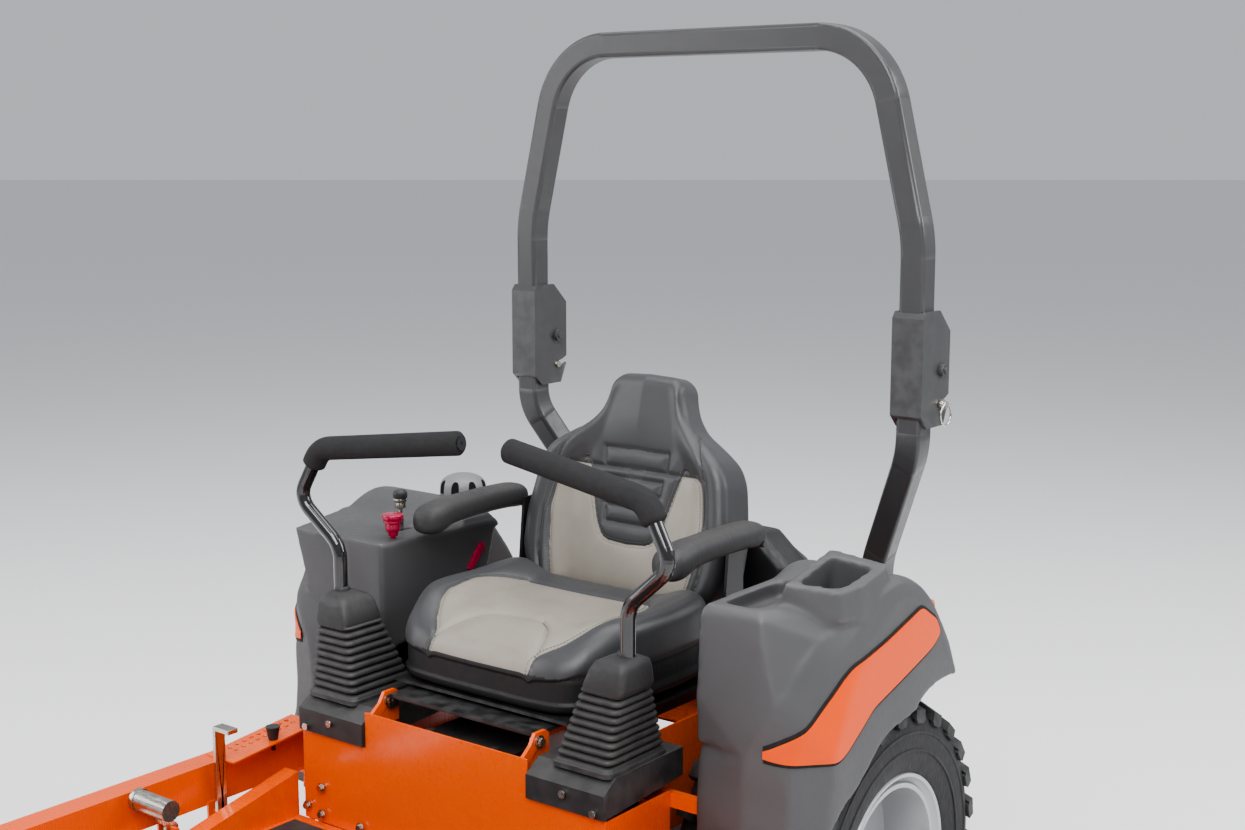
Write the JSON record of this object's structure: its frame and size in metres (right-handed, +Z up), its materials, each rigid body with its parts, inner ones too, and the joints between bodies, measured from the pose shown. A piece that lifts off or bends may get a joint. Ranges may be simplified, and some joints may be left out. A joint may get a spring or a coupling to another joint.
{
  "type": "zero turn mower",
  "caption": "Ride-on zero turn mower with folding roll bar, padded tilting seat, lap bars, moulded fenders, caster front wheels and a three-blade side-discharge deck.",
  "frame": {"origin": "on the ground under the centre of the overall outline, discharge chute included", "axes": "+Z up, the machine faces -Y, +X towards the operator's left; the wheels' midplane lies 135 mm towards +X of the origin because the chute sticks out towards -X"},
  "size_m": [1.85, 2.08, 1.767],
  "materials": {
    "orange_paint": "gloss powder coat",
    "dark_paint": "satin powder coat",
    "black_paint": "gloss powder coat",
    "grey_plastic": "fine moulded grain",
    "black_plastic": "satin moulded",
    "orange_plastic": "gloss",
    "red_plastic": "gloss",
    "rubber": "matt",
    "tyre": "matt tread",
    "rim_paint": "silver paint",
    "zinc": "zinc plate",
    "cast_alloy": "as cast",
    "vinyl": "grained vinyl over foam",
    "foam": "closed cell foam"
  },
  "bodies": {
    "chassis": {"main_frame": "orange_paint", "front_panel": "orange_paint", "floor_pan": "orange_paint", "floor_mat": "rubber", "fender_left": "grey_plastic", "fender_right": "grey_plastic", "fender_trims": "orange_plastic", "fuel_tank": "black_plastic", "battery": "black_plastic", "engine_block": "cast_alloy", "blower_housing": "black_plastic", "air_cleaner_cover": "grey_plastic", "muffler": "zinc", "transaxles": "cast_alloy", "rops_uprights": "dark_paint", "lever_boxes": "black_plastic", "rear_guard": "orange_paint", "fasteners": "zinc", "boot_left": "rubber", "boot_right": "rubber"},
    "rear_wheel_left": {"rear_tire_left": "tyre", "rear_rim_left": "rim_paint"},
    "rear_wheel_right": {"rear_tire_right": "tyre", "rear_rim_right": "rim_paint"},
    "caster_left": {"caster_fork_left": "orange_paint"},
    "caster_right": {"caster_fork_right": "orange_paint"},
    "caster_wheel_left": {"caster_wheel_left": "tyre"},
    "caster_wheel_right": {"caster_wheel_right": "tyre"},
    "roll_bar": {"rops_hoop": "dark_paint"},
    "lock_pin_left": {"lock_pin_left": "zinc"},
    "lock_pin_right": {"lock_pin_right": "zinc"},
    "seat_platform": {"seat_plate": "black_paint"},
    "seat": {"seat_base": "black_paint", "seat_cushion": "vinyl", "seat_back": "vinyl"},
    "armrest_left": {"armrest_left": "foam"},
    "armrest_right": {"armrest_right": "foam"},
    "lever_pivot_left": {"lever_pivot_left": "zinc"},
    "lever_pivot_right": {"lever_pivot_right": "zinc"},
    "lap_bar_left": {"lap_bar_left": "black_paint", "grip_left": "foam"},
    "lap_bar_right": {"lap_bar_right": "black_paint", "grip_right": "foam"},
    "lift_pedal": {"lift_pedal": "zinc"},
    "foot_lever": {"foot_lever": "dark_paint"},
    "height_pin": {"height_pin": "black_plastic"},
    "pto_knob": {"pto_knob": "red_plastic"},
    "throttle_lever": {"throttle_lever": "black_plastic"},
    "choke_knob": {"choke_knob": "black_plastic"},
    "ignition_key": {"ignition_key": "black_plastic"},
    "latch_lever": {"latch_lever": "red_plastic"},
    "fuel_cap": {"fuel_cap": "grey_plastic"},
    "deck": {"deck_shell": "orange_paint", "belts": "rubber"},
    "discharge_chute": {"discharge_chute": "black_plastic"},
    "blade_left": {"blade_left": "zinc"},
    "blade_center": {"blade_center": "zinc"},
    "blade_right": {"blade_right": "zinc"},
    "pto_clutch": {"pto_clutch": "zinc"},
    "deck_wheels": {"deck_wheels": "black_plastic"}
  },
  "joints": [
    {"name": "rear_wheel_left_spin", "type": "hinge", "parent": "chassis", "child": "rear_wheel_left", "pos_m": [0.5875, 0.415, 0.305], "axis": [1, 0, 0], "continuous": true},
    {"name": "caster_left_swivel", "type": "hinge", "parent": "chassis", "child": "caster_left", "pos_m": [0.6, -0.965, 0.42], "axis": [0, 0, 1], "continuous": true},
    {"name": "caster_wheel_left_spin", "type": "hinge", "parent": "caster_left", "child": "caster_wheel_left", "pos_m": [0.6, -0.875, 0.165], "axis": [1, 0, 0], "continuous": true},
    {"name": "rear_wheel_right_spin", "type": "hinge", "parent": "chassis", "child": "rear_wheel_right", "pos_m": [-0.3175, 0.415, 0.305], "axis": [1, 0, 0], "continuous": true},
    {"name": "caster_right_swivel", "type": "hinge", "parent": "chassis", "child": "caster_right", "pos_m": [-0.33, -0.965, 0.42], "axis": [0, 0, 1], "continuous": true},
    {"name": "caster_wheel_right_spin", "type": "hinge", "parent": "caster_right", "child": "caster_wheel_right", "pos_m": [-0.33, -0.875, 0.165], "axis": [1, 0, 0], "continuous": true},
    {"name": "roll_bar_fold", "type": "hinge", "parent": "chassis", "child": "roll_bar", "pos_m": [0.135, 0.725, 1.14], "axis": [-1, 0, 0], "range_deg": [0, 118]},
    {"name": "lock_pin_left_pull", "type": "slide", "parent": "chassis", "child": "lock_pin_left", "axis": [1, 0, 0], "range_m": [0, 0.075]},
    {"name": "lock_pin_right_pull", "type": "slide", "parent": "chassis", "child": "lock_pin_right", "axis": [-1, 0, 0], "range_m": [0, 0.075]},
    {"name": "seat_tilt", "type": "hinge", "parent": "chassis", "child": "seat_platform", "pos_m": [0.135, -0.04, 0.58], "axis": [1, 0, 0], "range_deg": [0, 30]},
    {"name": "seat_slide", "type": "slide", "parent": "seat_platform", "child": "seat", "axis": [0, 1, 0], "range_m": [0, 0.03]},
    {"name": "armrest_left_flip", "type": "hinge", "parent": "seat", "child": "armrest_left", "pos_m": [0.4155, 0.42, 0.845], "axis": [-1, 0, 0], "range_deg": [0, 95]},
    {"name": "armrest_right_flip", "type": "hinge", "parent": "seat", "child": "armrest_right", "pos_m": [-0.1455, 0.42, 0.845], "axis": [-1, 0, 0], "range_deg": [0, 95]},
    {"name": "lap_bar_left_drive", "type": "hinge", "parent": "chassis", "child": "lever_pivot_left", "pos_m": [0.462, -0.004, 0.47], "axis": [1, 0, 0], "range_deg": [-8, 14], "deforming": ["boot_left"]},
    {"name": "lap_bar_left_swing", "type": "hinge", "parent": "lever_pivot_left", "child": "lap_bar_left", "pos_m": [0.462, -0.004, 0.61], "axis": [0, 1, 0], "range_deg": [0, 25], "deforming": ["boot_left"]},
    {"name": "lap_bar_right_drive", "type": "hinge", "parent": "chassis", "child": "lever_pivot_right", "pos_m": [-0.192, -0.004, 0.47], "axis": [1, 0, 0], "range_deg": [-8, 14], "deforming": ["boot_right"]},
    {"name": "lap_bar_right_swing", "type": "hinge", "parent": "lever_pivot_right", "child": "lap_bar_right", "pos_m": [-0.192, -0.004, 0.61], "axis": [0, -1, 0], "range_deg": [0, 25], "deforming": ["boot_right"]},
    {"name": "deck_lift", "type": "slide", "parent": "chassis", "child": "deck", "axis": [0, 0, 1], "range_m": [0, 0.065], "deforming": ["belts"]},
    {"name": "lift_pedal_press", "type": "hinge", "parent": "chassis", "child": "lift_pedal", "pos_m": [-0.285, -0.33, 0.372], "axis": [1, 0, 0], "range_deg": [0, 25]},
    {"name": "foot_lever_push", "type": "hinge", "parent": "chassis", "child": "foot_lever", "pos_m": [-0.285, -0.222, 0.366], "axis": [1, 0, 0], "range_deg": [0, 12]},
    {"name": "height_pin_pull", "type": "slide", "parent": "chassis", "child": "height_pin", "axis": [0, 0, 1], "range_m": [0, 0.03]},
    {"name": "pto_pull", "type": "slide", "parent": "chassis", "child": "pto_knob", "axis": [0, 0, 1], "range_m": [0, 0.012]},
    {"name": "throttle_push", "type": "hinge", "parent": "chassis", "child": "throttle_lever", "pos_m": [-0.25, 0.205, 0.775], "axis": [1, 0, 0], "range_deg": [0, 25]},
    {"name": "choke_pull", "type": "slide", "parent": "chassis", "child": "choke_knob", "axis": [0, 0, 1], "range_m": [0, 0.02]},
    {"name": "key_turn", "type": "hinge", "parent": "chassis", "child": "ignition_key", "pos_m": [-0.21, 0.285, 0.82], "axis": [0, 0, -1], "range_deg": [0, 70]},
    {"name": "latch_lever_pull", "type": "hinge", "parent": "chassis", "child": "latch_lever", "pos_m": [-0.181, 0.352, 0.762], "axis": [-1, 0, 0], "range_deg": [0, 30]},
    {"name": "fuel_cap_turn", "type": "hinge", "parent": "chassis", "child": "fuel_cap", "pos_m": [-0.305, 0.44, 0.85], "axis": [0, 0, 1], "range_deg": [0, 90]},
    {"name": "chute_raise", "type": "hinge", "parent": "deck", "child": "discharge_chute", "pos_m": [-0.662, -0.31, 0.156], "axis": [0, 1, 0], "range_deg": [0, 75]},
    {"name": "blade_center_spin", "type": "hinge", "parent": "deck", "child": "blade_center", "pos_m": [0.135, -0.4, 0.2], "axis": [0, 0, 1], "continuous": true},
    {"name": "blade_left_spin", "type": "hinge", "parent": "deck", "child": "blade_left", "pos_m": [0.64, -0.22, 0.2], "axis": [0, 0, 1], "continuous": true},
    {"name": "blade_right_spin", "type": "hinge", "parent": "deck", "child": "blade_right", "pos_m": [-0.37, -0.22, 0.2], "axis": [0, 0, 1], "continuous": true},
    {"name": "pto_clutch_spin", "type": "hinge", "parent": "chassis", "child": "pto_clutch", "pos_m": [0.135, 0.77, 0.24], "axis": [0, 0, 1], "continuous": true},
    {"name": "deck_wheels_spin", "type": "hinge", "parent": "deck", "child": "deck_wheels", "pos_m": [0.135, -0.715, 0.075], "axis": [1, 0, 0], "continuous": true}
  ],
  "couplings": [
    {"joint": "lift_pedal_press", "follows": "deck_lift", "rad_per_m": 6.7121},
    {"joint": "blade_left_spin", "follows": "blade_center_spin", "ratio": 1},
    {"joint": "blade_right_spin", "follows": "blade_center_spin", "ratio": 1},
    {"joint": "pto_clutch_spin", "follows": "blade_center_spin", "ratio": 1}
  ]
}
